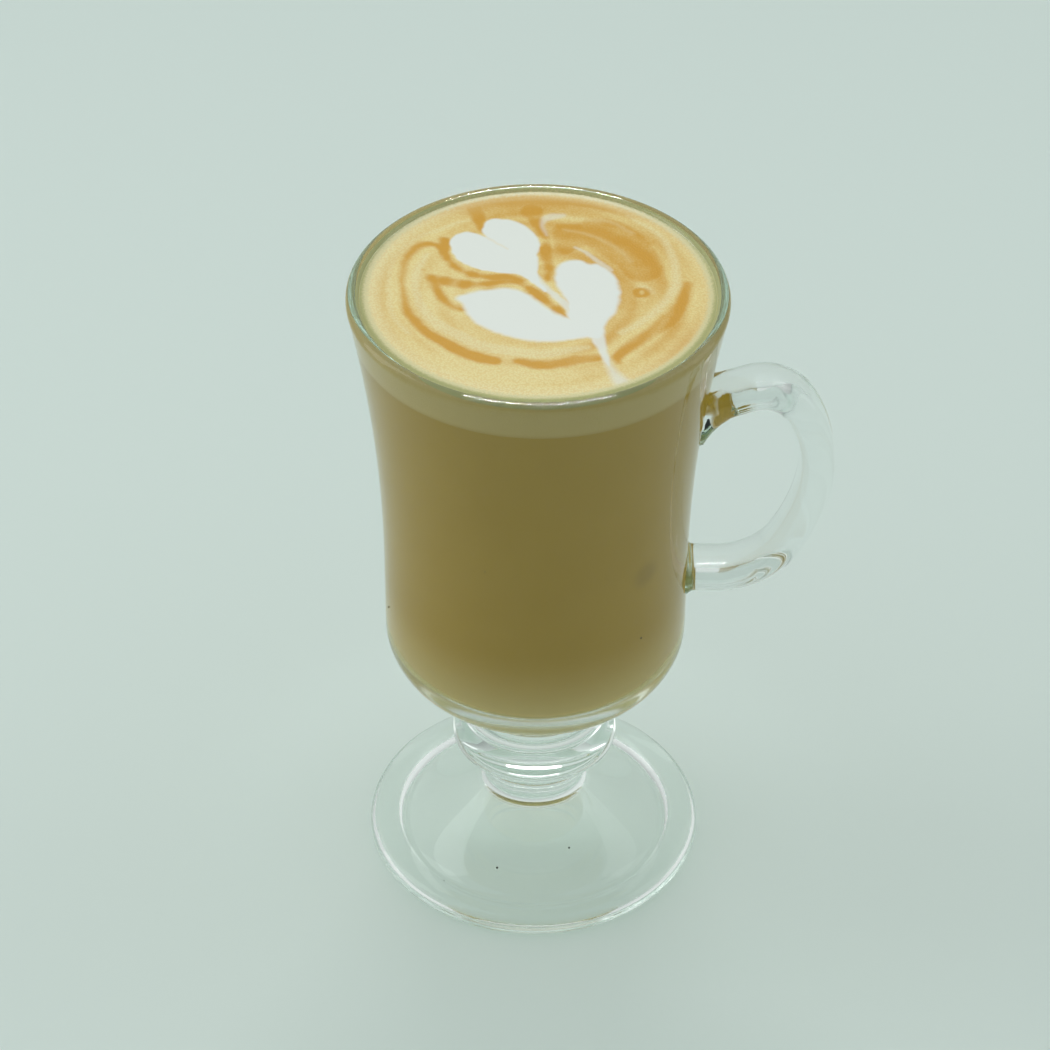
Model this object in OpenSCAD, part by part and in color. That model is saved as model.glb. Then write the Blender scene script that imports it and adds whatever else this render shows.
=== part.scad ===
// Caffe latte with poured milk foam, in a footed glass mug with a loop handle.
// The mug's axis is Z, its foot stands on Z = 0 and its handle points along +X.

/* [Rim and wall] */
// Overall height, from the table to the top of the lip
mug_h = 147.6; // [123:0.1:178]
// Outside diameter of the lip, the widest round of the bowl
lip_d = 77; // [64:0.5:93]
// Thickness of the rounded lip
lip_t = 3; // [2.7:0.1:3.6]
// Thickness of the wall
wall_t = 2.7; // [2:0.05:3.3]
// Outside diameter of the waist, where the wall stands straight
waist_d = 64.2; // [53:0.1:77]
// Height where the wall begins to flare out towards the lip
waist_z = 80; // [71:1:96]

/* [Bottom of the bowl] */
// Height where the wall starts to turn in
belly_z = 61.6; // [56:0.1:70]
// Depth of the rounded outside below that height
belly_drop = 18.6; // [16:0.1:22]
// Thickness of the glass under the drink
base_t = 4.6; // [3:0.1:8]
// Depth of the rounded inside
hollow_drop = 22; // [17:0.1:27]

/* [Stem] */
// Diameter of the neck between the bowl and the knob
upper_neck_d = 29; // [26:0.5:32]
// Diameter of the knob at its lower edge, where it is widest
knob_d = 36; // [33:0.5:43]
// Diameter of the knob at its upper edge
knob_top_d = 32.4; // [31:0.1:36]
// Height of the knob's lower edge
knob_low_z = 27.6; // [25:0.1:30]
// Height of the knob, from its lower edge to its upper one
knob_h = 9.8; // [7:0.1:12]
// Diameter of the neck between the knob and the foot
lower_neck_d = 22.2; // [18:0.2:26]

/* [Foot] */
// Diameter of the foot
foot_d = 73; // [66:0.5:88]
// Height of the foot's rounded edge
foot_edge_h = 5.2; // [4:0.1:6.4]
// Width of that rounded edge
foot_edge_w = 7.2; // [5.8:0.1:8.8]
// Height where the foot's cone meets the neck
foot_top_z = 16.8; // [14:0.1:19]
// Width of the flat ring that stands on the table
stand_w = 4; // [2:0.1:6]
// Depth of the hollow under the foot
under_depth = 9; // [3:0.1:11]
// Height of the steep edge round that hollow
under_step = 1.6; // [0.5:0.1:2.4]

/* [Handle] */
// Height of the middle of the upper arm, where it leaves the wall
handle_z = 119.4; // [99:0.1:124]
// Upward slope of the upper arm, in degrees
handle_rise = 20; // [10:1:25]
// Length of the upper arm, from inside the wall
handle_arm = 12; // [8:0.1:18]
// Radius of the bend at the end of that arm, along the handle's middle
top_bend_r = 8.6; // [7:0.1:11]
// Radius of the upper half of the grip
grip_r = 29.5; // [24:0.5:36]
// Radius of the lower half of the grip
low_grip_r = 45; // [38:0.5:54]
// Radius of the bend into the lower arm
low_bend_r = 16.5; // [13:0.5:20]
// Width of the handle
handle_w = 11.6; // [9:0.1:14]
// Thickness of the handle, from its outside to its inside
handle_t = 7.1; // [6:0.1:8.6]
// Reach of the fillet where the upper arm meets the wall
root_fillet = 6; // [3:0.1:8]

/* [Drink] */
// Distance from the top of the lip down to the drink's surface
headroom = 1.1; // [0.8:0.1:3]
// Depth of the foam that floats on the coffee
foam_h = 8.3; // [4:0.1:20]

/* [Hidden] */
$fn = 96;

// Steps along a curved stretch of an outline
STEPS = 14;
// Radius of the arc that the wall follows as it flares out
FLARE_R = 370;
// Angles on the lip's circle where it leaves the outside and the inside wall
LIP_OUT_ANGLE = -12;
LIP_IN_ANGLE = 215;
// Angle on the belly's ellipse where the fillet down to the stem begins
BELLY_CUT_ANGLE = -40;
// Power of the foot's cone, which steepens towards the neck
CONE_POWER = 1.3;
// Power of the hollow under the foot, which is rounded at the top
UNDER_POWER = 1.7;
// Angles on the foot's rounded edge: where it leaves the table, and the groove
FOOT_LOW_ANGLE = -76;
FOOT_GROOVE_ANGLE = 156;
// Rounding of the knob's two edges, and the reach of the curve under the knob
KNOB_TOP_ROUND = 1.6;
KNOB_LOW_ROUND = 2.8;
KNOB_UNDER = 4.6;
// Turns of the handle's bends, in degrees. Its rise makes up the full half turn
TOP_TURN = 58;
GRIP_TURN = 40;
LOW_GRIP_TURN = 22;
LOW_BEND_TURN = 60;
// How deep the upper arm reaches into the wall, which trims it
ROOT_DEPTH = 2.4;
// Steps round each half-round side of the handle, and degrees a step in its bends
SECTION_STEPS = 8;
BEND_STEP = 9;

lip_r = lip_t / 2;
lip_mid_r = lip_d / 2 - lip_r;
lip_mid_z = mug_h - lip_r;
waist_r = waist_d / 2;
hollow_r = waist_r - wall_t;
hollow_z = belly_z - belly_drop + base_t + hollow_drop;
upper_neck_r = upper_neck_d / 2;
knob_r = knob_d / 2;
knob_top_r = knob_top_d / 2;
knob_top_z = knob_low_z + knob_h;
lower_neck_r = lower_neck_d / 2;
foot_r = foot_d / 2;
foot_mid_r = foot_r - foot_edge_w / 2;
foot_mid_z = foot_edge_h / 2;
stand_out_r = foot_mid_r + foot_edge_w / 2 * cos(FOOT_LOW_ANGLE);
stand_in_r = stand_out_r - stand_w;
hollow_edge_r = stand_in_r - under_step / 2;
groove_r = foot_mid_r + foot_edge_w / 2 * cos(FOOT_GROOVE_ANGLE);
groove_z = foot_mid_z + foot_mid_z * sin(FOOT_GROOVE_ANGLE);
drink_z = mug_h - headroom;
foam_low_z = drink_z - foam_h;

// The flare is an arc, scaled to the spread between the waist and the lip
flare_top_z = lip_mid_z + lip_r * sin(LIP_OUT_ANGLE);
flare_top_r = lip_mid_r + lip_r * cos(LIP_OUT_ANGLE);
function flare_sag(rise) = FLARE_R - sqrt(FLARE_R * FLARE_R - rise * rise);
flare_scale = (flare_top_r - waist_r) / flare_sag(flare_top_z - waist_z);

// Outside radius of the wall at a height from the belly up
function wall_r(z) = waist_r + flare_scale * flare_sag(max(0, z - waist_z));

// Outside radius of the bowl at any height, its rounded bottom too
function bowl_r(z) =
    z > belly_z ? wall_r(z)
    : waist_r * sqrt(max(0, 1 - pow((belly_z - z) / belly_drop, 2)));

// Points of an ellipse's arc about [r, z], from one angle to another
function arc(r, z, half_w, half_h, from, to, steps = STEPS) =
    [for (i = [0:steps])
        let (a = from + (to - from) * i / steps)
        [r + half_w * cos(a), z + half_h * sin(a)]];

// Points of a curve that leaves one point and reaches another, both towards a corner
function corner_curve(from, corner, to, steps = STEPS) =
    [for (i = [0:steps])
        let (s = i / steps)
        (1 - s) * (1 - s) * from + 2 * s * (1 - s) * corner + s * s * to];

// Points up or down the wall between two heights, at an inward offset
function wall_points(from, to, inset) =
    [for (i = [0:STEPS])
        let (z = from + (to - from) * i / STEPS)
        [wall_r(z) - inset, z]];

// Outline of the foot, from the axis under it, round its edge and up its cone
function foot_outline() = concat(
    [for (i = [0:STEPS])
        let (share = i / STEPS)
        [hollow_edge_r * share,
            under_step + (under_depth - under_step) * (1 - pow(share, UNDER_POWER))]],
    [[stand_in_r, 0], [stand_out_r, 0]],
    arc(foot_mid_r, foot_mid_z, foot_edge_w / 2, foot_mid_z,
        FOOT_LOW_ANGLE + 8, FOOT_GROOVE_ANGLE),
    [for (i = [1:STEPS])
        let (share = i / STEPS)
        [groove_r + (lower_neck_r - groove_r) * share,
            groove_z + (foot_top_z - groove_z) * pow(share, CONE_POWER)]]
);

// Outline of the stem, from the lower neck round the knob to the bowl's underside
belly_cut = arc(0, belly_z, waist_r, belly_drop, BELLY_CUT_ANGLE, 0)[0];
function stem_outline() = concat(
    corner_curve([lower_neck_r, knob_low_z - KNOB_UNDER],
        [lower_neck_r, knob_low_z], [knob_r - 1.2 * KNOB_LOW_ROUND, knob_low_z]),
    corner_curve([knob_r - KNOB_LOW_ROUND, knob_low_z],
        [knob_r, knob_low_z], [knob_r, knob_low_z + KNOB_LOW_ROUND], 8),
    corner_curve([knob_top_r + KNOB_TOP_ROUND / 4, knob_top_z - KNOB_TOP_ROUND],
        [knob_top_r, knob_top_z], [knob_top_r - KNOB_TOP_ROUND, knob_top_z], 5),
    corner_curve([upper_neck_r, knob_top_z + 1.5],
        [upper_neck_r, belly_z - belly_drop + 0.8], belly_cut)
);

// Outline of the bowl, from the belly up the outside, over the lip and down inside
function bowl_outline() = concat(
    arc(0, belly_z, waist_r, belly_drop, BELLY_CUT_ANGLE, 0),
    wall_points(waist_z, flare_top_z, 0),
    arc(lip_mid_r, lip_mid_z, lip_r, lip_r, LIP_OUT_ANGLE, LIP_IN_ANGLE),
    inside_outline()
);

// Outline of the inside of the glass, from under the lip down to the axis
function inside_outline() = concat(
    wall_points(lip_mid_z - lip_t, waist_z, wall_t),
    arc(0, hollow_z, hollow_r, hollow_drop, 0, -90)
);

// Outline of all the space inside the glass, closed at the axis and over the lip
function space_outline() = concat(
    [[0, mug_h], [lip_mid_r - lip_r, mug_h]],
    arc(lip_mid_r, lip_mid_z, lip_r, lip_r, 180, LIP_IN_ANGLE, 3),
    inside_outline()
);

// Outline of the handle's section: flat outside and inside, with half-round sides
function handle_section() = let (side = (handle_w - handle_t) / 2) concat(
    arc(0, side, handle_t / 2, handle_t / 2, 0, 180, SECTION_STEPS),
    arc(0, -side, handle_t / 2, handle_t / 2, 180, 360, SECTION_STEPS)
);

// Stations [x, z, heading] round a bend that turns downwards from a first station
function bend_stations(first, radius, turn) =
    let (steps = ceil(turn / BEND_STEP),
        mid = [first[0] + radius * sin(first[2]), first[1] - radius * cos(first[2])])
    [for (i = [1:steps])
        let (heading = first[2] - turn * i / steps)
        [mid[0] - radius * sin(heading), mid[1] + radius * cos(heading), heading]];

// Stations of all the handle's bends, each going on where the last one ended
function bends_stations(first, bends, i = 0) =
    i == len(bends) ? [] :
    let (made = bend_stations(first, bends[i][0], bends[i][1]))
    concat(made, bends_stations(made[len(made) - 1], bends, i + 1));

// Corners of the section at a station, in space
function ring(station) =
    [for (p = handle_section())
        [station[0] - p[0] * sin(station[2]), p[1],
            station[1] + p[0] * cos(station[2])]];

// A solid swept through rings of corners, closed by its first and last ring
module swept(rings) {
    n = len(rings[0]);
    last = (len(rings) - 1) * n;
    polyhedron(
        points = [for (r = rings) each r],
        faces = concat(
            [[for (i = [n - 1:-1:0]) i]],
            [[for (i = [0:n - 1]) last + i]],
            [for (k = [0:len(rings) - 2], i = [0:n - 1])
                let (a = k * n + i, b = k * n + (i + 1) % n)
                each [[a, b, a + n], [b, b + n, a + n]]]
        )
    );
}

// The fillet under the upper arm, drawn on the XZ plane
module root_web() {
    root_r = bowl_r(handle_z) - ROOT_DEPTH;
    half_t = handle_t / 2;
    corner_z = handle_z - half_t / cos(handle_rise)
        + ROOT_DEPTH * tan(handle_rise);
    corner = [bowl_r(corner_z), corner_z];
    on_arm = corner + root_fillet * [cos(handle_rise), sin(handle_rise)];
    on_wall = [bowl_r(corner_z - root_fillet), corner_z - root_fillet];
    rotate([90, 0, 0])
        linear_extrude(handle_w - handle_t, center = true)
            polygon(concat(
                [[root_r, handle_z], on_arm + [0, half_t / 2]],
                corner_curve(on_arm, corner, on_wall),
                [[root_r, corner_z - root_fillet]]
            ));
}

module handle() {
    root_r = bowl_r(handle_z) - ROOT_DEPTH;
    root = [root_r, handle_z, handle_rise];
    arm_end = root + handle_arm * [cos(handle_rise), sin(handle_rise), 0];
    bends = bends_stations(arm_end, [
        [top_bend_r, TOP_TURN + handle_rise],
        [grip_r, GRIP_TURN],
        [low_grip_r, LOW_GRIP_TURN],
        [low_bend_r, LOW_BEND_TURN]
    ]);
    low_z = bends[len(bends) - 1][1];
    low_root = [bowl_r(low_z - handle_t / 2) - wall_t, low_z, -180];
    swept([for (station = concat([root, arm_end], bends, [low_root]))
        ring(station)]);
    root_web();
}

module glass_mug() {
    color("azure", 0.35) {
        rotate_extrude()
            polygon(concat(foot_outline(), stem_outline(), bowl_outline()));
        difference() {
            handle();
            rotate_extrude()
                polygon(space_outline());
        }
    }
}

// What fills the glass between two heights
module drink_layer(low, high) {
    rotate_extrude()
        intersection() {
            polygon(space_outline());
            translate([0, low])
                square([lip_d, high - low]);
        }
}

module milk_coffee() {
    color("tan")
        drink_layer(0, foam_low_z);
}

module milk_foam() {
    color("wheat")
        drink_layer(foam_low_z, drink_z);
}

glass_mug();
milk_coffee();
milk_foam();
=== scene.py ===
import math

import bpy
import numpy as np
from mathutils import Matrix, Vector, noise


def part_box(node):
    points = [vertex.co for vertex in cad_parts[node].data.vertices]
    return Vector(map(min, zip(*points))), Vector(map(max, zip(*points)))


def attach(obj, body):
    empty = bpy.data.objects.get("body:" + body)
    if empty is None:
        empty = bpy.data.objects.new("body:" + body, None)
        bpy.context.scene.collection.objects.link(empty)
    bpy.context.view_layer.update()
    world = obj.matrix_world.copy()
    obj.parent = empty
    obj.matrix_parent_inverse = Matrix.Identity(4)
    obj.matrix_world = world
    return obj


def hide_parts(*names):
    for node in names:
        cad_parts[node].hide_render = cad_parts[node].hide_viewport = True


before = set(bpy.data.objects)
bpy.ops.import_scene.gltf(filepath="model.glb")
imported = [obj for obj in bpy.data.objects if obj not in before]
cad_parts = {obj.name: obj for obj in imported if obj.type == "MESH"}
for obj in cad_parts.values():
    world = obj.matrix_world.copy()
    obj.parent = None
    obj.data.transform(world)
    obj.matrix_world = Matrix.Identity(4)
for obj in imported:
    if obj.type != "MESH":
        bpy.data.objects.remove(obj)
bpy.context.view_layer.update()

MM = 0.001


# ---------------------------------------------------------------- sizes, from the frame

glass_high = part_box("glass_mug")[1]
coffee_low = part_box("milk_coffee")[0]
foam_low, foam_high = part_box("milk_foam")

LIP_Z = glass_high[2]                    # top of the lip
LIP_R = glass_high[1]                    # widest round of the lip
LIP_TUBE = 1.5 * MM                      # radius of the lip's rounded bead
LIP_MID_R = LIP_R - LIP_TUBE
LIP_MID_Z = LIP_Z - LIP_TUBE
LIP_OUT, LIP_IN = -12, 215               # degrees round the bead, where the wall meets it
WAIST_R, WAIST_Z = 32.1 * MM, 80 * MM    # where the wall stands straight
WALL = 2.7 * MM
FLARE_R = 370 * MM                       # the arc that the wall follows up to the lip
BELLY_Z, BELLY_DROP = 61.6 * MM, 18.6 * MM
BELLY_CUT = -40                          # degrees on the belly, where the stem begins
HOLLOW_LOW_Z = coffee_low[2]             # the inside bottom, under the drink
HOLLOW_DROP = 22 * MM

KNOB_LOW_Z, KNOB_HIGH_Z = 27.6 * MM, 37.4 * MM
KNOB_R, KNOB_TOP_R = 18 * MM, 16.2 * MM
KNOB_LOW_ROUND, KNOB_TOP_ROUND = 2.8 * MM, 1.6 * MM
KNOB_UNDER, KNOB_FLAT = 4.6 * MM, 3.4 * MM      # the curve under it: how far down, how far in
LOW_NECK_R, HIGH_NECK_R = 11.1 * MM, 14.5 * MM
HIGH_NECK_Z, NECK_BEND_Z = 38.9 * MM, 43.8 * MM  # where the neck over the knob begins and bends

FOOT_R = 36.5 * MM
FOOT_EDGE_R, FOOT_EDGE_Z = 3.6 * MM, 2.6 * MM   # half the width and height of its rounded edge
STAND_IN_R, STAND_OUT_R = 29.8 * MM, 33.4 * MM  # the flat ring that stands on the table
UNDER_DEPTH, UNDER_POWER = 9 * MM, 1.7   # hollow under the foot
UNDER_STEP = 1.6 * MM                    # steep edge round that hollow
CONE_TOP_Z, CONE_POWER = 16.8 * MM, 1.3  # the foot's cone, which steepens towards the neck

HANDLE_W, HANDLE_T = 11.6 * MM, 7.1 * MM
HANDLE_Z, HANDLE_RISE = 119.4 * MM, math.radians(20)
HANDLE_ARM = 12                          # length of the upper arm, in steps of 1 mm
LOW_ARM_STEPS = 16
# the handle's bends from the upper arm down: radius in millimetres, degrees, steps
HANDLE_BENDS = ((8.6, 78, 26), (29.5, 40, 18), (45, 22, 12), (16.5, 60, 22))
ROOT_DEPTH, LOW_ROOT_DEPTH = 2.4 * MM, 1.4 * MM  # how deep the arms reach into the wall
WEB_REACH, WEB_DROP = 6.5 * MM, 4.8 * MM         # the web under the upper arm
# how much wider the arms get at the wall, and from how far out
UPPER_WIDER, UPPER_REACH = 0.16, 2.4 * MM
LOW_WIDER, LOW_THICKER, LOW_REACH = 0.12, 0.2, 1.3 * MM

DRINK_Z = foam_high[2]                   # surface of the foam
FOAM_LOW_Z = foam_low[2]                 # where the foam floats on the coffee
MENISCUS = 0.95 * MM                     # how far the foam climbs the wall
INTO_WALL = 0.12 * MM                    # how far the drink reaches into the glass
INTO_BOTTOM = INTO_WALL * 0.7            # how far its bottom reaches down into it
SUNK_BELOW_Z = 60 * MM                   # the bottom counts as what lies below this
FLAT_R = 33.5 * MM                       # the foam is flat out to here, then climbs the wall
CLIMB_GAP = 0.25 * MM                    # how far from the wall that climb has its corner


# ---------------------------------------------------------------- colours and marks

GLASS_IOR = 1.5
GLASS_TINT, GLASS_DEPTH = (0.76, 0.88, 0.82, 1), 9
GLASS_SHADE = (0.93, 0.955, 0.94, 1)     # the light that its shadow lets through
COFFEE = (0.43, 0.27, 0.038, 1)
COFFEE_CLOUD = (0.48, 0.31, 0.056, 1)
# painted light: the paler coffee colour towards its bottom, as if lit from the floor below
COFFEE_PAINTED_LIGHT = (0.75, 0.57, 0.26, 1)
# painted shade: the darker colour of a faint patch on the coffee's front right
COFFEE_PAINTED_SHADE = (0.24, 0.15, 0.03, 1)
FOAM_SIDE = (0.54, 0.395, 0.135, 1)
FOAM_EDGE = (0.74, 0.66, 0.36, 1)
FOAM_GLAZE = (0.44, 0.43, 0.18, 1)
CREMA = (0.90, 0.73, 0.31, 1)
CREMA_DARK = (0.69, 0.335, 0.008, 1)
CREMA_PALE = (0.90, 0.78, 0.43, 1)
POURED_WHITE = (0.86, 0.873, 0.83, 1)
FLOOR = (0.72, 0.80, 0.77, 1)
# painted shade: the floor's darker colour far from the mug
FLOOR_FAR_SHADE = (0.48, 0.54, 0.52, 1)
DUST = (0.03, 0.035, 0.03, 1)
# Specks of dust on the foot and the bowl: place and size, in millimetres
SPECKS = [(-7.9, -21.7, 7.0, 0.5), (7.9, -18.0, 9.7, 0.45), (-19.6, -23.2, 4.1, 0.4),
          (-30.9, -8.7, 71.2, 0.4), (21.9, -23.4, 76.1, 0.4), (-10.2, -31.0, 100.1, 0.3)]
EDGE_MIDDLE = (0, 0.9 * MM, DRINK_Z)     # middle of the round where the bubbly edge begins
EDGE_RING = (33.9 * MM, 35.1 * MM)       # how far out the pale bubbly edge sets in
GLAZE_RING = (35.0 * MM, 36.1 * MM)      # and the darker wet line along the glass
FOAM_FADE = (FOAM_LOW_Z + 1.2 * MM, FOAM_LOW_Z - 0.8 * MM)  # its side turns to coffee here
FOAM_GRAIN, FOAM_BUBBLES, FOAM_STAINS = 2000, 2300, 260   # how fine the foam's patterns are
COFFEE_CLOUDS = 60                       # how fine the coffee's clouds are
PAINTED_LIGHT_HEIGHTS = (78 * MM, 48 * MM)         # painted light from below: the coffee turns paler between these heights
# painted shade: middle and radius of the darker patch on the coffee
SHADE_PATCH_PLACE, SHADE_PATCH_R = (21.2 * MM, -20.4 * MM, 92 * MM), 4.5 * MM
MIRROR_FACING = (0.55, 0.64)             # how flat the view is where coffee turns to a mirror


# ---------------------------------------------------------------- outlines

def arc(r, z, half_w, half_h, start, end, steps):
    """Points [r, z] of an ellipse's arc, between two angles in degrees."""
    points = []
    for i in range(steps + 1):
        a = math.radians(start + (end - start) * i / steps)
        points.append((r + half_w * math.cos(a), z + half_h * math.sin(a)))
    return points


def curve(start, corner, end, steps):
    """Points of a curve that leaves start and reaches end, both towards a corner."""
    points = []
    for i in range(steps + 1):
        s = i / steps
        a, b, c = (1 - s) ** 2, 2 * s * (1 - s), s * s
        points.append(tuple(a * p + b * q + c * t for p, q, t in zip(start, corner, end)))
    return points


def line(start, end, steps):
    """Points of a straight run, without its two ends."""
    return [
        tuple(p + (q - p) * i / steps for p, q in zip(start, end)) for i in range(1, steps)
    ]


def flare_sag(rise):
    """How far the flare's arc leans out at a rise above the waist."""
    return FLARE_R - math.sqrt(FLARE_R ** 2 - rise ** 2)


FLARE_TOP_Z = LIP_MID_Z + LIP_TUBE * math.sin(math.radians(LIP_OUT))
FLARE_TOP_R = LIP_MID_R + LIP_TUBE * math.cos(math.radians(LIP_OUT))
FLARE_SCALE = (FLARE_TOP_R - WAIST_R) / flare_sag(FLARE_TOP_Z - WAIST_Z)


def wall_r(z):
    """Outside radius of the bowl's wall at a height above the belly."""
    return WAIST_R + FLARE_SCALE * flare_sag(max(0.0, z - WAIST_Z))


def wall(low, high, inset, steps):
    """Points up or down the wall between two heights, at an inset from its outside."""
    return [
        (wall_r(low + (high - low) * i / steps) - inset, low + (high - low) * i / steps)
        for i in range(steps + 1)
    ]


def hollow(steps):
    """The rounded inside bottom, from the wall down to the axis."""
    r = WAIST_R - WALL
    return arc(0, HOLLOW_LOW_Z + HOLLOW_DROP, r, HOLLOW_DROP, 0, -90, steps)


def inside():
    """The inner face of the glass, from under the lip down to the axis."""
    down = wall(LIP_MID_Z - 2 * LIP_TUBE, WAIST_Z, WALL, 36)
    bottom = hollow(40)
    return down + line(down[-1], bottom[0], 8) + bottom


def smooth(points, passes):
    """Rounds an outline's corners a little, with its ends kept."""
    for _ in range(passes):
        points = [points[0]] + [
            tuple((a + 2 * b + c) / 4 for a, b, c in zip(p, q, s))
            for p, q, s in zip(points, points[1:], points[2:])
        ] + [points[-1]]
    return points


def foot_outline():
    """The foot, from the axis under it, round its edge and up its cone."""
    points = []
    for i in range(17):
        share = i / 16
        rise = (UNDER_DEPTH - UNDER_STEP) * (1 - share ** UNDER_POWER)
        points.append(((STAND_IN_R - UNDER_STEP / 2) * share, UNDER_STEP + rise))
    points += [(STAND_IN_R, 0.0), (STAND_OUT_R, 0.0)]
    points += arc(FOOT_R - FOOT_EDGE_R, FOOT_EDGE_Z, FOOT_EDGE_R, FOOT_EDGE_Z, -68, 156, 40)
    groove_r, groove_z = points[-1]
    for i in range(1, 29):
        share = i / 28
        points.append((groove_r + (LOW_NECK_R - groove_r) * share,
                       groove_z + (CONE_TOP_Z - groove_z) * share ** CONE_POWER))
    return points


def stem_outline(belly_start):
    """The stem, from the lower neck round the knob to the bowl's underside."""
    low, high = KNOB_LOW_Z, KNOB_HIGH_Z
    stem = curve((LOW_NECK_R, low - KNOB_UNDER), (LOW_NECK_R, low), (KNOB_R - KNOB_FLAT, low), 14)
    stem += curve((KNOB_R - KNOB_LOW_ROUND, low), (KNOB_R, low), (KNOB_R, low + KNOB_LOW_ROUND), 14)
    stem += curve((KNOB_TOP_R + KNOB_TOP_ROUND / 4, high - KNOB_TOP_ROUND),
                  (KNOB_TOP_R, high), (KNOB_TOP_R - KNOB_TOP_ROUND, high), 10)
    stem += curve((HIGH_NECK_R, HIGH_NECK_Z), (HIGH_NECK_R, NECK_BEND_Z), belly_start, 18)
    return stem[:-1]


def mug_outline():
    """The glass's section, from the axis under the foot round to the inside bottom."""
    belly = arc(0, BELLY_Z, WAIST_R, BELLY_DROP, BELLY_CUT, 0, 24)
    foot, stem = foot_outline(), stem_outline(belly[0])
    up = wall(WAIST_Z, FLARE_TOP_Z, 0, 36)
    lip = arc(LIP_MID_R, LIP_MID_Z, LIP_TUBE, LIP_TUBE, LIP_OUT, LIP_IN, 30)
    return (foot + line(foot[-1], stem[0], 6) + stem + belly
            + line(belly[-1], up[0], 8) + up + lip + inside())


# ---------------------------------------------------------------- modelling helpers

def only(piece):
    """Makes a piece the only one selected, and the active one."""
    if bpy.context.object and bpy.context.object.mode != "OBJECT":
        bpy.ops.object.mode_set(mode="OBJECT")
    bpy.ops.object.select_all(action="DESELECT")
    piece.select_set(True)
    bpy.context.view_layer.objects.active = piece


def finish_piece(piece, name, material, angle=40):
    """Names a piece, cleans its mesh, smooths it and gives it its material."""
    only(piece)
    bpy.ops.object.mode_set(mode="EDIT")
    bpy.ops.mesh.select_all(action="SELECT")
    bpy.ops.mesh.remove_doubles(threshold=1e-6)
    bpy.ops.mesh.normals_make_consistent(inside=False)
    bpy.ops.object.mode_set(mode="OBJECT")
    bpy.ops.object.transform_apply(location=True, rotation=True, scale=True)
    bpy.ops.object.shade_smooth_by_angle(angle=math.radians(angle))
    piece.name = piece.data.name = name
    piece.data.materials.clear()
    piece.data.materials.append(material)
    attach(piece, "root")
    return piece


def lathe(outline, turns):
    """Extrudes one corner along an outline, and spins that line round the axis."""
    bpy.ops.object.select_all(action="DESELECT")
    bpy.ops.mesh.primitive_plane_add(size=MM)
    piece = bpy.context.object
    bpy.ops.object.mode_set(mode="EDIT")
    bpy.ops.mesh.merge(type="CENTER")
    bpy.ops.transform.translate(value=(outline[0][0], 0, outline[0][1]))
    for here, there in zip(outline, outline[1:]):
        step = (there[0] - here[0], 0, there[1] - here[1])
        bpy.ops.mesh.extrude_region_move(TRANSFORM_OT_translate={"value": step})
    bpy.ops.mesh.select_all(action="SELECT")
    bpy.ops.mesh.spin(steps=turns, angle=2 * math.pi, center=(0, 0, 0), axis=(0, 0, 1))
    bpy.ops.mesh.select_all(action="SELECT")
    bpy.ops.mesh.remove_doubles(threshold=1e-6)
    bpy.ops.mesh.normals_make_consistent(inside=False)
    bpy.ops.object.mode_set(mode="OBJECT")
    return piece


# ---------------------------------------------------------------- materials

class Value:
    """A shader's socket, with arithmetic that adds the Math nodes it needs."""

    def __init__(self, graph, socket):
        self.graph, self.socket = graph, socket

    def maths(self, operation, *inputs):
        made = self.graph.add("ShaderNodeMath", {"operation": operation}, dict(enumerate(inputs)))
        return Value(self.graph, made.outputs[0])

    def __add__(self, other):
        return self.maths("ADD", self, other)

    def __radd__(self, other):
        return self.maths("ADD", other, self)

    def __sub__(self, other):
        return self.maths("SUBTRACT", self, other)

    def __rsub__(self, other):
        return self.maths("SUBTRACT", other, self)

    def __mul__(self, other):
        return self.maths("MULTIPLY", self, other)

    def __rmul__(self, other):
        return self.maths("MULTIPLY", other, self)

    def step(self, low, high):
        """Goes smoothly from 0 at low to 1 at high."""
        made = self.graph.add(
            "ShaderNodeMapRange", {"interpolation_type": "SMOOTHSTEP"},
            {"Value": self, "From Min": low, "From Max": high})
        return Value(self.graph, made.outputs[0])


class Graph:
    """The nodes of one material or world."""

    def __init__(self, owner):
        owner.use_nodes = True
        self.tree = owner.node_tree

    def add(self, kind, settings=None, inputs=None):
        made = self.tree.nodes.new(kind)
        for name, value in (settings or {}).items():
            setattr(made, name, value)
        for name, value in (inputs or {}).items():
            self.feed(made.inputs[name], value)
        return made

    def feed(self, socket, value):
        if isinstance(value, Value):
            self.tree.links.new(value.socket, socket)
        elif isinstance(value, bpy.types.NodeSocket):
            self.tree.links.new(value, socket)
        else:
            socket.default_value = value

    def value(self, node, output=0):
        return Value(self, node.outputs[output])

    def mix(self, factor, first, second):
        """Mixes two colours."""
        made = self.add("ShaderNodeMix", {"data_type": "RGBA"}, {0: factor, 6: first, 7: second})
        return made.outputs[2]

    def mix_shaders(self, factor, first, second):
        return self.add("ShaderNodeMixShader", None, {0: factor, 1: first, 2: second}).outputs[0]

    def noise(self, place, scale, detail=2.0):
        made = self.add("ShaderNodeTexNoise", None, {"Vector": place, "Scale": scale, "Detail": detail})
        return self.value(made)


def new_material(name):
    material = bpy.data.materials.new(name)
    graph = Graph(material)
    return material, graph, graph.tree.nodes["Principled BSDF"], graph.tree.nodes["Material Output"]


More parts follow.
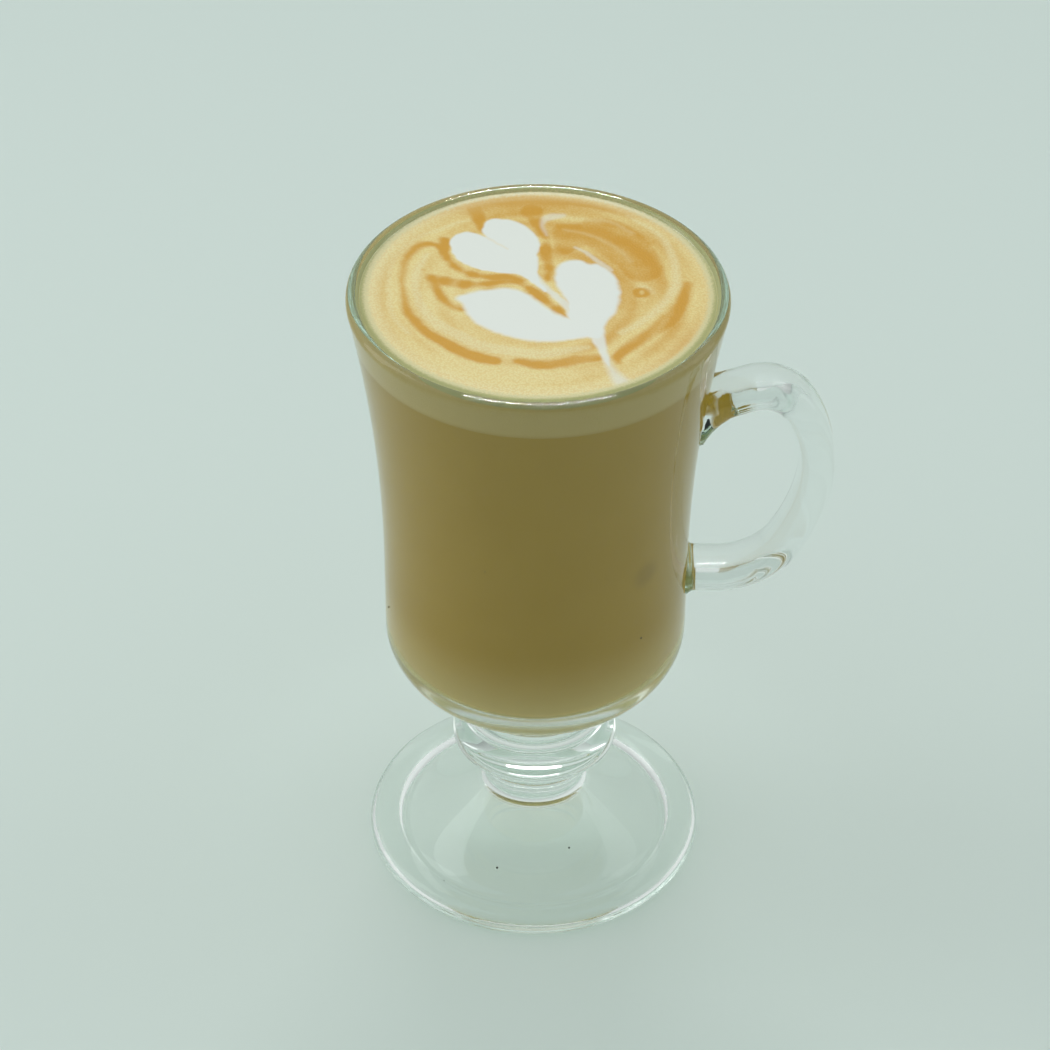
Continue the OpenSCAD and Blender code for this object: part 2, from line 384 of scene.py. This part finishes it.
def clear_glass():
    """Clear glass with a faint green tint, which lets most light through to the table."""
    material, graph, shader, output = new_material("clear_glass")
    graph.feed(shader.inputs["Base Color"], (1, 1, 1, 1))
    graph.feed(shader.inputs["Transmission Weight"], 1)
    graph.feed(shader.inputs["Roughness"], 0)
    graph.feed(shader.inputs["IOR"], GLASS_IOR)
    tint = graph.add("ShaderNodeVolumeAbsorption", None, {"Color": GLASS_TINT, "Density": GLASS_DEPTH})
    graph.feed(output.inputs["Volume"], tint.outputs[0])
    path = graph.add("ShaderNodeLightPath")
    clear = graph.add("ShaderNodeBsdfTransparent", None, {"Color": GLASS_SHADE}).outputs[0]
    lit = graph.mix_shaders(path.outputs["Is Diffuse Ray"], shader.outputs[0], clear)
    lit = graph.mix_shaders(path.outputs["Is Shadow Ray"], lit, clear)
    graph.feed(output.inputs["Surface"], lit)
    return material


def wet_against_glass(graph, shader):
    """Adds the mirror that a drink's face becomes where it is seen at a flat angle in glass."""
    facing = graph.add("ShaderNodeLayerWeight", None, {"Blend": 0.5})
    mirror = graph.add("ShaderNodeBsdfGlossy", None, {"Color": (1, 1, 1, 1), "Roughness": 0.1}).outputs[0]
    share = graph.value(facing, "Facing").step(*MIRROR_FACING)
    return graph.mix_shaders(share, shader.outputs[0], mirror)


def milk_coffee():
    """Milky coffee, with painted light that makes it paler towards the bottom, and painted shade as a
    faint darker patch to the right.
    """
    material, graph, shader, output = new_material("milk_coffee")
    place = graph.add("ShaderNodeTexCoord").outputs["Object"]
    # painted shade: a faint darker patch on the coffee's front right
    patch = graph.add("ShaderNodeVectorMath", {"operation": "DISTANCE"}, {0: place, 1: SHADE_PATCH_PLACE})
    dark = graph.value(patch, "Value").step(SHADE_PATCH_R, 1 * MM) * 0.35
    cloud = graph.noise(place, COFFEE_CLOUDS).step(0.3, 0.75) * 0.25
    colour = graph.mix(cloud, COFFEE, COFFEE_CLOUD)
    height = graph.value(graph.add("ShaderNodeSeparateXYZ", None, {0: place}), "Z")
    # painted light: the coffee turns paler towards the bottom
    colour = graph.mix(height.step(*PAINTED_LIGHT_HEIGHTS), colour, COFFEE_PAINTED_LIGHT)
    colour = graph.mix(dark, colour, COFFEE_PAINTED_SHADE)
    graph.feed(shader.inputs["Base Color"], colour)
    graph.feed(shader.inputs["Roughness"], 0.6)
    graph.feed(shader.inputs["Specular IOR Level"], 0.0)
    graph.feed(output.inputs["Surface"], wet_against_glass(graph, shader))
    return material


def foam_top(graph, place, poured, grain, bubbles):
    """The foam's top: crema with its browner and paler swirls, under the poured white."""
    white, brown, pale = poured
    stained = brown + (graph.noise(place, FOAM_STAINS, 5) - 0.5) * 0.42 + (grain - 0.5) * 0.45
    colour = graph.mix(stained.step(0.0, 1.0), CREMA, CREMA_DARK)
    colour = graph.mix(pale * (0.8 + 0.4 * grain), colour, CREMA_PALE)
    colour = graph.mix(bubbles.step(0.25, 0.75) * 0.22, colour, CREMA_DARK)
    return graph.mix(white, colour, POURED_WHITE)


def foam_side(graph, place):
    """The foam against the glass, a paler coffee that turns to coffee at its lower edge."""
    height = graph.value(graph.add("ShaderNodeSeparateXYZ", None, {0: place}), "Z")
    return graph.mix(height.step(*FOAM_FADE), FOAM_SIDE, COFFEE)


def milk_foam():
    """Foam with the poured pattern on top, and a bubbly edge and a wet line at the glass."""
    material, graph, shader = new_material("milk_foam")[:3]
    place = graph.add("ShaderNodeTexCoord").outputs["Object"]
    art = graph.add("ShaderNodeAttribute", {"attribute_name": "poured"})
    parts = graph.add("ShaderNodeSeparateColor", None, {0: art.outputs["Color"]})
    poured = [graph.value(parts, i) for i in range(3)]
    grain = graph.noise(place, FOAM_GRAIN, 3)
    flecks = graph.add("ShaderNodeTexVoronoi", None, {"Vector": place, "Scale": FOAM_BUBBLES})
    bubbles = graph.value(flecks, "Distance")
    edge = graph.add("ShaderNodeVectorMath", {"operation": "DISTANCE"}, {0: place, 1: EDGE_MIDDLE})
    outward = graph.value(edge, "Value") + grain * MM
    rim = outward.step(*EDGE_RING) * (0.7 + 0.5 * grain)
    colour = graph.mix(rim, foam_top(graph, place, poured, grain, bubbles), FOAM_EDGE)
    colour = graph.mix(outward.step(*GLAZE_RING), colour, FOAM_GLAZE)
    normal = graph.add("ShaderNodeNewGeometry").outputs["Normal"]
    top = graph.value(graph.add("ShaderNodeSeparateXYZ", None, {0: normal}), "Z").step(0.2, 0.5)
    graph.feed(shader.inputs["Base Color"], graph.mix(top, foam_side(graph, place), colour))
    graph.feed(shader.inputs["Roughness"], 0.42 - rim * 0.08)
    graph.feed(shader.inputs["Specular IOR Level"], 0.18)
    relief = (bubbles * 0.6 + grain * 0.5) * (1.0 - poured[0] * 0.85)
    bump = graph.add("ShaderNodeBump", None, {"Height": relief, "Strength": 0.5, "Distance": 0.12 * MM})
    graph.feed(shader.inputs["Normal"], bump.outputs[0])
    return material


def dust():
    """Dull dark dust."""
    material, graph, shader = new_material("dark_dust")[:3]
    graph.feed(shader.inputs["Base Color"], DUST)
    graph.feed(shader.inputs["Roughness"], 0.8)
    return material


# ---------------------------------------------------------------- the glass mug

def handle_section(root_r):
    """The handle's section, a widened circle, set where the upper arm begins."""
    bpy.ops.object.select_all(action="DESELECT")
    bpy.ops.mesh.primitive_circle_add(
        vertices=48, radius=HANDLE_T / 2, rotation=(math.pi / 2, 0, math.pi / 2))
    piece = bpy.context.object
    bpy.ops.object.transform_apply(location=True, rotation=True, scale=True)
    for corner in piece.data.vertices:
        corner.co.y += math.copysign((HANDLE_W - HANDLE_T) / 2, corner.co.y)
    turn = Matrix.Rotation(-HANDLE_RISE, 4, "Y")
    piece.data.transform(Matrix.Translation((root_r, 0, HANDLE_Z)) @ turn)
    return piece


def draw_handle(root_r):
    """Draws the section out along the upper arm, round the bends and back to the bowl."""
    heading, spot = HANDLE_RISE, Vector((root_r, 0, HANDLE_Z))
    for _ in range(HANDLE_ARM):
        step = Vector((math.cos(heading), 0, math.sin(heading))) * MM
        bpy.ops.mesh.extrude_region_move(TRANSFORM_OT_translate={"value": step})
        spot += step
    for radius, degrees, steps in HANDLE_BENDS:
        mid = spot + Vector((math.sin(heading), 0, -math.cos(heading))) * radius * MM
        bpy.ops.mesh.spin(steps=steps, angle=math.radians(degrees), center=mid, axis=(0, -1, 0))
        heading -= math.radians(degrees)
        spot = mid + Vector((-math.sin(heading), 0, math.cos(heading))) * radius * MM
    run = (spot.x - (WAIST_R - LOW_ROOT_DEPTH)) / LOW_ARM_STEPS
    for _ in range(LOW_ARM_STEPS):
        bpy.ops.mesh.extrude_region_move(TRANSFORM_OT_translate={"value": (-run, 0, 0)})
    return spot.z


def close_ends():
    """Fills the open ends of the piece that is being edited."""
    bpy.ops.mesh.select_all(action="DESELECT")
    bpy.ops.mesh.select_non_manifold()
    bpy.ops.mesh.edge_face_add()
    bpy.ops.mesh.select_all(action="SELECT")
    bpy.ops.mesh.remove_doubles(threshold=1e-6)
    bpy.ops.mesh.fill_holes(sides=0)
    bpy.ops.mesh.normals_make_consistent(inside=False)


def nearness(out, reach):
    """Falls from 1 at the wall to 0 at a reach from it."""
    return max(0.0, 1 - max(0.0, out) / reach) ** 2


def flare_roots(piece, low_z):
    """Widens the handle where it meets the wall, with a long web under the upper arm."""
    for corner in piece.data.vertices:
        place = corner.co
        out = place.x - wall_r(place.z)
        if place.z > (HANDLE_Z + low_z) / 2:
            along = place.x - wall_r(HANDLE_Z) + ROOT_DEPTH
            across = place.z - (HANDLE_Z + along * math.tan(HANDLE_RISE))
            if across < 0 and out < WEB_REACH:
                place.z += across / (HANDLE_T / 2) * WEB_DROP * nearness(out, WEB_REACH)
            place.y *= 1 + UPPER_WIDER * nearness(out, UPPER_REACH)
        else:
            place.z += (place.z - low_z) * LOW_THICKER * nearness(out, LOW_REACH)
            place.y *= 1 + LOW_WIDER * nearness(out, LOW_REACH)


def handle():
    """The handle, with its two ends lying in the wall."""
    root_r = wall_r(HANDLE_Z) - ROOT_DEPTH
    piece = handle_section(root_r)
    bpy.ops.object.mode_set(mode="EDIT")
    bpy.ops.mesh.select_all(action="SELECT")
    low_z = draw_handle(root_r)
    close_ends()
    bpy.ops.object.mode_set(mode="OBJECT")
    flare_roots(piece, low_z)
    return piece


mug = lathe(smooth(mug_outline(), passes=1), turns=192)
grip = handle()
only(mug)
join = mug.modifiers.new("handle", "BOOLEAN")
join.operation = "UNION"
join.solver = "MANIFOLD"
join.object = grip
bpy.ops.object.modifier_apply(modifier="handle")
bpy.data.objects.remove(grip)
mug = finish_piece(mug, "mug", clear_glass(), angle=50)
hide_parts("glass_mug")


# ---------------------------------------------------------------- the drink

def against_wall(high, low):
    """The drink's side, a little inside the glass, between two heights."""
    lift = math.degrees(math.asin((DRINK_Z + MENISCUS - LIP_MID_Z) / LIP_TUBE))
    bead = arc(LIP_MID_R, LIP_MID_Z, LIP_TUBE, LIP_TUBE, 180 - lift, LIP_IN, 12)
    return [(r + INTO_WALL if r > 1e-6 else 0.0, z) for r, z in bead + inside() if low < z <= high]


def coffee_outline():
    """The coffee's section, which reaches into the glass at its side and its bottom."""
    side = against_wall(FOAM_LOW_Z, 0)
    low = [(r, z - INTO_BOTTOM * (z < SUNK_BELOW_Z)) for r, z in side]
    top_r = wall_r(FOAM_LOW_Z) - WALL + INTO_WALL
    return [(0, FOAM_LOW_Z), (top_r, FOAM_LOW_Z)] + low


def foam_outline(rings):
    """The foam's section: its flat top in many rings, the curve up the wall, and its side."""
    top = [(FLAT_R * i / rings, DRINK_Z) for i in range(rings + 1)]
    side = against_wall(1, FOAM_LOW_Z)
    climb = curve(top[-1], (side[0][0] - CLIMB_GAP, DRINK_Z), side[0], 8)[1:]
    bottom_r = wall_r(FOAM_LOW_Z) - WALL + INTO_WALL
    return top + climb + side[1:] + [(bottom_r, FOAM_LOW_Z), (0, FOAM_LOW_Z)]


# The poured pattern, in millimetres on the foam, the handle to the right.
# Outlines of the white: a heart at the back, a long leaf in front of it, and a
# round lobe to the right that runs out in a stem towards the near rim.
HEART = [(-17.9, 17.2), (-17.4, 19.8), (-15.3, 21.6), (-12.8, 21.3), (-10.7, 19.9), (-11.5, 22.6),
         (-10.6, 25.6), (-8.0, 26.3), (-4.7, 25.5), (-2.3, 23.3), (-0.7, 20.5), (0.1, 17.0),
         (0.0, 13.5), (-0.1, 10.0), (0.0, 7.2), (0.9, 4.4), (2.2, 1.9), (1.5, 1.2), (-0.1, 3.2),
         (-1.9, 5.2), (-3.6, 6.6), (-7.4, 7.1), (-10.7, 8.0), (-13.8, 9.4), (-16.1, 11.4),
         (-17.4, 14.2)]
LEAF = [(-16.2, -1.4), (-13.8, 0.4), (-11.4, 1.4), (-8.0, 2.0), (-4.7, 1.7), (-2.0, 0.4), (0.0, -2.0),
        (2.1, -4.7), (4.1, -6.8), (6.5, -8.0), (10.0, -8.5), (12.5, -10.5), (11.2, -14.0),
        (9.0, -14.3), (6.1, -15.1), (2.7, -15.7), (-1.3, -15.5), (-4.7, -14.5), (-7.4, -13.2),
        (-10.1, -11.3), (-12.1, -9.5), (-13.6, -7.2), (-14.4, -4.8), (-15.0, -3.0)]
LOBE = [(3.8, 3.3), (3.5, 6.7), (3.9, 9.4), (5.0, 11.2), (6.8, 11.9), (8.8, 11.7), (10.3, 10.6),
        (12.2, 10.7), (14.2, 8.2), (15.8, 5.0), (16.6, 1.3), (16.4, -2.1), (15.5, -5.4),
        (14.2, -8.1), (13.3, -10.8), (13.1, -13.4), (12.0, -15.0), (9.8, -14.4), (7.5, -11.5),
        (6.0, -8.0), (5.8, -5.0), (5.6, -2.5), (4.7, 0.6)]
# Strokes of the white, each point with half the stroke's width.
STEM = [(11.4, -12.0, 1.8), (12.0, -15.5, 1.3), (12.7, -18.5, 0.9), (13.4, -21.5, 0.7),
        (14.0, -23.4, 0.4)]
STEM_END = [(13.6, -22.2, 0.7), (14.4, -25.0, 0.9), (15.6, -27.6, 1.3), (17.0, -29.6, 1.7)]
TAIL = [(-0.4, 6.4, 0.7), (1.4, 3.2, 0.6), (3.2, 0.2, 0.7), (5.0, -2.8, 0.8), (6.8, -6.0, 1.1)]
WISP = [(7.6, 16.6, 0.25), (9.8, 14.6, 0.45), (12.2, 11.6, 0.6), (14.4, 8.4, 0.5)]
CREASE = [(-10.6, 19.8, 0.25), (-8.3, 17.4, 0.3), (-6.2, 15.6, 0.2)]
HOOK = [(5.4, 27.6, 0.6), (3.0, 27.2, 1.1), (1.3, 26.2, 0.9), (0.9, 24.0, 0.45), (1.6, 20.5, 0.3)]
DRIFT_SEED = 5                           # of the drift that makes the pattern's edges uneven
# Outlines with the softness of their edges, and strokes with strength and softness.
WHITE_SHAPES = [(HEART, 0.35), (LEAF, 0.7), (LOBE, 0.6)]
WHITE_STROKES = [(STEM, 0.85, 0.5), (STEM_END, 0.6, 1.0), (TAIL, 0.75, 0.4), (WISP, 0.5, 0.4),
                 (HOOK, 0.45, 0.6)]
# Brown swirls, each with its strength: the long hook round the left, the tongue between
# heart and leaf, the claw inside the hook, arcs along the back, right and front, a bubble's
# ring and three small dark bubbles.
BROWN_STROKES = [
    ([(-18.9, 12.0, 0.7), (-19.8, 15.4, 0.8), (-21.4, 17.0, 0.8), (-23.4, 17.0, 0.9), (-25.2, 15.2, 0.9),
      (-26.6, 11.5, 0.8), (-27.2, 7.6, 0.8), (-27.2, 3.0, 0.8), (-26.9, -1.0, 0.8), (-26.1, -4.8, 0.9),
      (-24.8, -8.0, 0.9), (-22.9, -11.4, 0.9), (-20.6, -14.4, 1.0), (-17.5, -17.3, 1.2),
      (-14.1, -19.7, 1.3), (-10.9, -21.5, 1.5), (-8.2, -22.2, 1.0)], 1.0),
    ([(-19.2, 18.6, 1.2), (-18.9, 14.1, 0.8), (-17.4, 10.2, 0.8), (-14.8, 7.4, 0.8), (-11.4, 6.0, 0.9),
      (-8.0, 5.6, 0.9), (-4.7, 5.3, 0.8), (-2.3, 3.4, 0.7), (-0.2, 0.6, 0.8), (2.0, -2.7, 0.9),
      (4.0, -5.5, 0.8), (5.3, -7.2, 0.4)], 0.95),
    ([(-21.6, 5.6, 1.2), (-18.4, 4.2, 1.6), (-14.6, 3.2, 1.4), (-11.0, 3.6, 0.7), (-7.0, 4.0, 0.5),
      (-4.2, 4.0, 0.5), (-1.8, 2.2, 0.6)], 0.85),
    ([(-21.2, 5.6, 0.9), (-20.6, 2.6, 1.1), (-19.1, -0.8, 1.0), (-17.4, -3.5, 0.9),
      (-15.0, -5.2, 0.7)], 0.9),
    ([(-17.0, 31.0, 1.6), (-12.0, 32.6, 1.8), (-6.0, 33.4, 1.6), (1.0, 33.4, 1.5), (8.0, 32.3, 1.4),
      (14.0, 30.0, 1.1), (19.0, 27.2, 0.8)], 0.75),
    ([(-14.4, 31.5, 1.6), (-12.7, 27.5, 1.7), (-12.2, 24.6, 1.0), (-11.0, 21.6, 0.4)], 0.8),
    ([(-1.5, 29.0, 2.6), (-0.4, 25.0, 1.3), (1.2, 20.0, 1.0), (1.6, 14.0, 1.2), (2.2, 9.0, 1.0),
      (2.0, 4.6, 0.5)], 0.75),
    ([(30.0, 3.6, 1.3), (28.6, -2.5, 1.4), (26.4, -7.2, 1.9), (22.6, -12.0, 1.7), (18.6, -16.4, 1.6),
      (16.2, -20.0, 1.3), (15.9, -22.4, 0.7)], 0.8),
    ([(-3.8, -22.2, 0.9), (0.4, -23.2, 1.7), (4.6, -22.6, 1.4), (8.4, -21.6, 1.3),
      (11.4, -20.8, 1.2)], 0.85),
    ([(19.7, 1.6, 0.35), (20.6, 2.3, 0.35), (21.6, 1.6, 0.35), (21.6, 0.4, 0.35), (20.6, -0.3, 0.35),
      (19.7, 0.5, 0.35), (19.7, 1.6, 0.35)], 1.4),
    ([(16.3, 22.5, 0.1), (16.5, 22.4, 0.1)], 1.2),
    ([(23.2, 14.3, 0.1), (23.5, 14.2, 0.1)], 1.2),
    ([(-23.5, 8.3, 0.05), (-23.3, 8.2, 0.05)], 1.0),
]
# Outline of the brownest part, at the back to the right of the heart.
BROWN_PATCH = [(3.2, 24.6), (8.0, 25.4), (10.6, 27.4), (15.4, 26.6), (20.4, 22.6), (23.6, 17.4),
               (25.4, 11.6), (25.0, 6.4), (21.6, 4.2), (17.8, 5.4), (15.6, 9.0), (12.8, 13.0),
               (9.6, 16.4), (6.4, 13.4), (3.6, 14.6), (2.4, 19.4)]
# Paler swirls, each with its strength, between the brown ones and near the wall.
PALE_STROKES = [
    ([(-14.6, 25.6, 0.4), (-20.0, 22.8, 0.8), (-25.2, 19.0, 0.9), (-28.8, 13.0, 0.9), (-30.0, 6.0, 0.9),
      (-29.8, -1.0, 0.8), (-28.4, -8.0, 0.8), (-25.4, -13.4, 0.7)], 0.55),
    ([(-22.6, 13.4, 0.6), (-24.4, 8.0, 0.9), (-24.4, 2.0, 1.0), (-23.2, -4.0, 1.1), (-20.6, -9.0, 1.3),
      (-16.4, -13.4, 1.5), (-10.4, -17.4, 1.6), (-3.0, -19.4, 1.5), (4.6, -19.0, 1.3),
      (9.6, -17.6, 0.8)], 0.75),
    ([(18.0, 28.0, 0.4), (23.4, 22.6, 0.7), (26.6, 16.4, 0.9), (27.8, 9.6, 1.0), (27.4, 3.0, 1.0),
      (24.8, -3.0, 1.0), (20.6, -8.6, 0.9), (16.4, -12.6, 0.8)], 0.7),
    ([(5.4, 22.4, 0.25), (10.8, 20.4, 0.4), (15.4, 16.4, 0.4), (18.6, 11.4, 0.3)], 0.35),
    ([(4.6, 27.0, 0.3), (9.6, 26.6, 0.5), (14.6, 25.4, 0.4), (19.0, 21.6, 0.3)], 0.45),
    ([(20.0, 3.4, 0.5), (21.8, 2.8, 0.6), (22.8, 1.0, 0.5)], 0.5),
]


def rounded(points, closed, steps=5):
    """Points along the smooth curve through given ones."""
    points = [np.array(p, float) for p in points]
    count = len(points)
    made = []
    for i in range(count if closed else count - 1):
        if closed:
            a, b, c, d = (points[(i + k) % count] for k in (-1, 0, 1, 2))
        else:
            a, b, c, d = (points[min(max(i + k, 0), count - 1)] for k in (-1, 0, 1, 2))
        for k in range(steps):
            t = k / steps
            made.append(0.5 * (2 * b + (c - a) * t + (2 * a - 5 * b + 4 * c - d) * t * t
                               + (3 * b - a - 3 * c + d) * t ** 3))
    if not closed:
        made.append(points[-1])
    return np.array(made)


def ease(share):
    """Turns a share that grows evenly into one that starts and stops softly."""
    share = np.clip(share, 0, 1)
    return share * share * (3 - 2 * share)


def nearest(x, y, start, end):
    """Distance from each spot to one short stretch, and how far along it that is."""
    run = end[:2] - start[:2]
    share = ((x - start[0]) * run[0] + (y - start[1]) * run[1]) / max(run @ run, 1e-9)
    share = np.clip(share, 0, 1)
    return np.hypot(x - start[0] - share * run[0], y - start[1] - share * run[1]), share


def stroke(x, y, points, soft):
    """How much a brush stroke covers each spot, from 0 to 1."""
    line_points = rounded(points, False)
    cover = np.zeros_like(x)
    for start, end in zip(line_points, line_points[1:]):
        away, share = nearest(x, y, start, end)
        half = start[2] + share * (end[2] - start[2])
        cover = np.maximum(cover, ease((half + soft - away) / (2 * soft)))
    return cover


def filled(x, y, points, soft):
    """How much a closed outline covers each spot, from 0 to 1."""
    corners = rounded(points, True)
    away = np.full_like(x, 1e9)
    within = np.zeros(x.shape, bool)
    for start, end in zip(corners, np.roll(corners, -1, axis=0)):
        away = np.minimum(away, nearest(x, y, start, end)[0])
        crosses = (start[1] > y) != (end[1] > y)
        at = start[0] + (y - start[1]) * (end[0] - start[0]) / (end[1] - start[1] + 1e-12)
        within ^= crosses & (x < at)
    return ease((np.where(within, away, -away) + soft) / (2 * soft))


def wander(x, y, fineness, layer):
    """A smooth drift at each spot, the same in each run once the noise is seeded."""
    return np.array([
        noise.noise_vector((a * fineness, b * fineness, layer)) for a, b in zip(x, y)])


def white_mask(x, y):
    """Where the poured white lies: heart, leaf and lobe, and the strokes that run from them."""
    white = np.zeros_like(x)
    for points, soft in WHITE_SHAPES:
        white = np.maximum(white, filled(x, y, points, soft))
    for points, weight, soft in WHITE_STROKES:
        white = np.maximum(white, weight * stroke(x, y, points, soft))
    return white * (1 - 0.25 * stroke(x, y, CREASE, 0.3))


def brown_mask(x, y, swirl, side, back):
    """Where the crema is browner: more to the right and the back, in swirls and in strokes."""
    brown = 0.20 + 0.26 * side + 0.5 * swirl + 0.25 * back
    for points, weight in BROWN_STROKES:
        cover = stroke(x, y, points, 1.1) * weight * (1.0 + 0.6 * swirl)
        brown = np.maximum(brown, brown * 0.5 + cover)
    patch = filled(x, y, BROWN_PATCH, 1.6)
    return np.maximum(brown, patch * (0.82 + 0.35 * swirl))


def pale_mask(x, y, r, side, brown):
    """Where the crema is paler: near the wall, to the left, and in strokes."""
    pale = 0.55 * ease((r - 29.5) / 4) * (1 - 0.7 * side) + 0.25 * ease((r - 32.6) / 1.6)
    pale += 0.30 * (1 - side) * (1 - np.clip(brown, 0, 1))
    for points, weight in PALE_STROKES:
        pale = np.maximum(pale, stroke(x, y, points, 0.8) * weight)
    return pale


def pour(piece):
    """Paints the poured pattern on the foam: white, brown and pale, as one attribute."""
    places = np.empty(len(piece.data.vertices) * 3)
    piece.data.vertices.foreach_get("co", places)
    x, y = places.reshape(-1, 3)[:, 0] / MM, places.reshape(-1, 3)[:, 1] / MM
    noise.seed_set(DRIFT_SEED)
    drift, shiver = wander(x, y, 0.16, 3.0), wander(x, y, 0.7, 8.0)
    bent_x = x + 0.5 * drift[:, 0] + 0.22 * shiver[:, 0]
    bent_y = y + 0.5 * drift[:, 1] + 0.22 * shiver[:, 1]
    r = np.hypot(x, y)
    swirl = np.array([noise.noise((c * 0.35, a * 0.045, b * 0.045)) for a, b, c in zip(x, y, r)])
    side = ease((x * 0.7 + y * 0.7 + 22) / 44)
    white = white_mask(bent_x, bent_y)
    brown = brown_mask(bent_x, bent_y, swirl, side, ease((y - 22) / 10))
    pale = pale_mask(bent_x, bent_y, r, side, brown)
    masks = np.stack([white, brown, pale, np.ones_like(x)], axis=1).clip(0, 1)
    layer = piece.data.color_attributes.new("poured", "FLOAT_COLOR", "POINT")
    layer.data.foreach_set("color", masks.ravel())


coffee = lathe(coffee_outline(), turns=160)
coffee = finish_piece(coffee, "coffee", milk_coffee())
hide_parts("milk_coffee")

foam = lathe(foam_outline(rings=120), turns=512)
foam = finish_piece(foam, "foam", milk_foam())
pour(foam)
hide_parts("milk_foam")


# ---------------------------------------------------------------- dust on the glass

def specks(places):
    """Tiny dark specks, joined into one piece."""
    made = []
    for x, y, z, size in places:
        bpy.ops.object.select_all(action="DESELECT")
        bpy.ops.mesh.primitive_ico_sphere_add(
            subdivisions=2, radius=size * MM / 2, location=(x * MM, y * MM, z * MM))
        made.append(bpy.context.object)
    bpy.ops.object.select_all(action="DESELECT")
    for piece in made:
        piece.select_set(True)
    bpy.context.view_layer.objects.active = made[0]
    bpy.ops.object.join()
    return finish_piece(bpy.context.object, "specks", dust())


specks(SPECKS)


# ---------------------------------------------------------------- floor, light and camera

def floor():
    """A pale, dull floor, with painted shade that darkens it far away."""
    bpy.ops.object.select_all(action="DESELECT")
    bpy.ops.mesh.primitive_plane_add(size=6)
    piece = bpy.context.object
    piece.name = "floor"
    material, graph, shader = new_material("pale_floor")[:3]
    place = graph.add("ShaderNodeTexCoord").outputs["Object"]
    away = graph.value(graph.add("ShaderNodeVectorMath", {"operation": "LENGTH"}, {0: place}), "Value")
    # painted shade darkens the floor far away
    graph.feed(shader.inputs["Base Color"], graph.mix(away.step(0.5, 1.2), FLOOR, FLOOR_FAR_SHADE))
    graph.feed(shader.inputs["Roughness"], 0.7)
    graph.feed(shader.inputs["Specular IOR Level"], 0.2)
    piece.data.materials.append(material)


def light(name, place, size, power, colour=(1, 1, 1), target=(0, 0, 0.08)):
    """A rectangular lamp that faces the mug."""
    data = bpy.data.lights.new(name, "AREA")
    data.shape = "RECTANGLE"
    data.size, data.size_y = size
    data.energy, data.color = power, colour
    lamp = bpy.data.objects.new(name, data)
    bpy.context.collection.objects.link(lamp)
    lamp.location = place
    lamp.rotation_euler = (Vector(target) - Vector(place)).to_track_quat("-Z", "Y").to_euler()
    return lamp


LAMPS, LAMP_GAP = 25, 10 * MM            # a row of small bright lamps, behind and above
LAMP_Y, LAMP_Z = 0.39, 0.825
LAMP_SIZE, LAMP_POWER = (0.004, 0.06), 0.25
STRIP_SIZE, STRIP_POWER = (0.26, 0.012), 0.5
SIDE_SIZE, SIDE_COLOUR = (0.25, 0.8), (0.95, 1.0, 0.98)
LEFT_POWER, RIGHT_POWER = 0.8, 0.4
TENT = (0.795, 0.86, 0.835, 1)


def lights():
    """The lamps, which shine in the glass, a strip that lights for them, and two side walls."""
    for i in range(LAMPS):
        x = (i - (LAMPS - 1) / 2) * LAMP_GAP
        light("lamp", (x, LAMP_Y, LAMP_Z), LAMP_SIZE, LAMP_POWER).visible_diffuse = False
    strip = light("strip", (0, LAMP_Y, LAMP_Z), STRIP_SIZE, STRIP_POWER)
    strip.visible_glossy = False
    strip.visible_transmission = False
    light("left_wall", (-0.62, 0.10, 0.42), SIDE_SIZE, LEFT_POWER, SIDE_COLOUR)
    light("right_wall", (0.62, 0.14, 0.42), SIDE_SIZE, RIGHT_POWER, SIDE_COLOUR)


def tent():
    """A pale tent all round, dimmer towards its opening in front and brighter to the left."""
    world = bpy.data.worlds.new("pale_tent")
    bpy.context.scene.world = world
    graph = Graph(world)
    way = graph.add("ShaderNodeTexCoord").outputs["Generated"]
    split = graph.add("ShaderNodeSeparateXYZ", None, {0: way})
    x, y, z = (graph.value(split, i) for i in range(3))
    opening = (0.0 - y).step(0.25, 0.95)
    low_walls = z.step(-0.05, 0.5) * 0.28 + 0.72
    strength = (0.88 - 0.20 * x) * low_walls * (1.0 - 0.68 * opening)
    background = graph.tree.nodes["Background"]
    graph.feed(background.inputs["Color"], TENT)
    graph.feed(background.inputs["Strength"], strength)


# the camera's distance and height, its turns, and its film and lens in millimetres
AWAY, ABOVE = 0.58106, 0.56758
PITCH, YAW, ROLL = math.radians(39.605), math.radians(-0.231), math.radians(0.371)
FILM, LENS = 36, 123.07
BOUNCES = 48


def camera():
    """The camera, which looks down at the mug from in front."""
    data = bpy.data.cameras.new("camera")
    data.sensor_width, data.lens = FILM, LENS
    eye = bpy.data.objects.new("camera", data)
    bpy.context.collection.objects.link(eye)
    eye.location = (0, -AWAY, ABOVE)
    ahead = Vector((math.sin(YAW) * math.cos(PITCH), math.cos(YAW) * math.cos(PITCH), -math.sin(PITCH)))
    right = Vector((math.cos(YAW), -math.sin(YAW), 0))
    up = right.cross(ahead)
    across = right * math.cos(ROLL) + up * math.sin(ROLL)
    upward = up * math.cos(ROLL) - right * math.sin(ROLL)
    eye.rotation_euler = Matrix((across, upward, -ahead)).transposed().to_euler()
    bpy.context.scene.camera = eye


floor()
lights()
tent()
camera()
cycles = bpy.context.scene.cycles
cycles.max_bounces = cycles.transmission_bounces = cycles.glossy_bounces = BOUNCES
cycles.transparent_max_bounces = BOUNCES
bpy.context.scene.view_settings.view_transform = "Standard"
